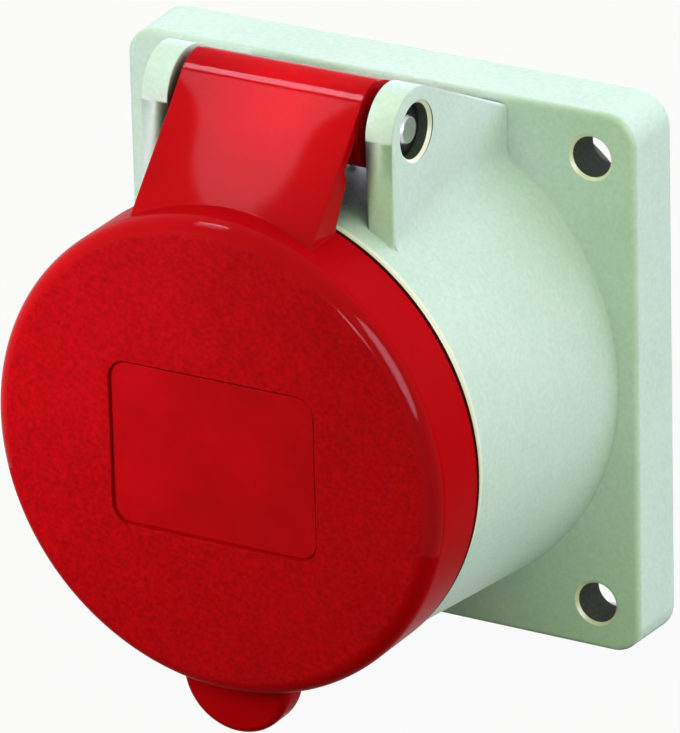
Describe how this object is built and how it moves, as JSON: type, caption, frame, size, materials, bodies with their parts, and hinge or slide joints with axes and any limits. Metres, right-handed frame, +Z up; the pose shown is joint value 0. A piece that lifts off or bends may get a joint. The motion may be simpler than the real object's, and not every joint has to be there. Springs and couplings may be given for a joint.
{
  "type": "flanged pin and sleeve socket",
  "caption": "Square flanged power socket with a tapered round barrel, sleeve contacts in a recessed carrier and a sprung hinged lid with a thumb tab.",
  "frame": {"origin": "centre of the flange's mounting plane, on the socket's axis", "axes": "+Z up towards the hinge, -Y forward out of the socket's mouth, +X to the right seen from the front"},
  "size_m": [0.085, 0.084, 0.0968],
  "materials": {
    "housing_plastic": "pale grey-green moulding, satin",
    "lid_plastic": "signal red moulding, glossy arm and rim, finely grained face",
    "rubber": "black rubber",
    "carrier_plastic": "dark grey moulding, matt",
    "contact_brass": "turned brass, bright",
    "steel": "plated steel"
  },
  "bodies": {
    "socket": {"housing": "housing_plastic", "hinge_pin": "steel", "lid_spring": "steel", "panel_gasket": "rubber", "contact_carrier": "carrier_plastic", "terminal_base": "carrier_plastic", "earth_sleeve": "contact_brass", "l1_sleeve": "contact_brass", "l2_sleeve": "contact_brass", "l3_sleeve": "contact_brass", "neutral_sleeve": "contact_brass", "earth_ring_spring": "steel", "l1_ring_spring": "steel", "l2_ring_spring": "steel", "l3_ring_spring": "steel", "neutral_ring_spring": "steel", "terminal_screws": "steel", "carrier_screw": "steel", "base_screws": "steel"},
    "lid": {"lid": "lid_plastic", "lid_seal": "rubber"}
  },
  "joints": [
    {"name": "lid_hinge", "type": "hinge", "parent": "socket", "child": "lid", "pos_m": [0, -0.0349, 0.0454], "axis": [-1, 0, 0], "range_deg": [0, 120], "stiffness_Nm_per_rad": 0.06, "springref_deg": -68.75, "deforming": ["lid_spring"]}
  ]
}
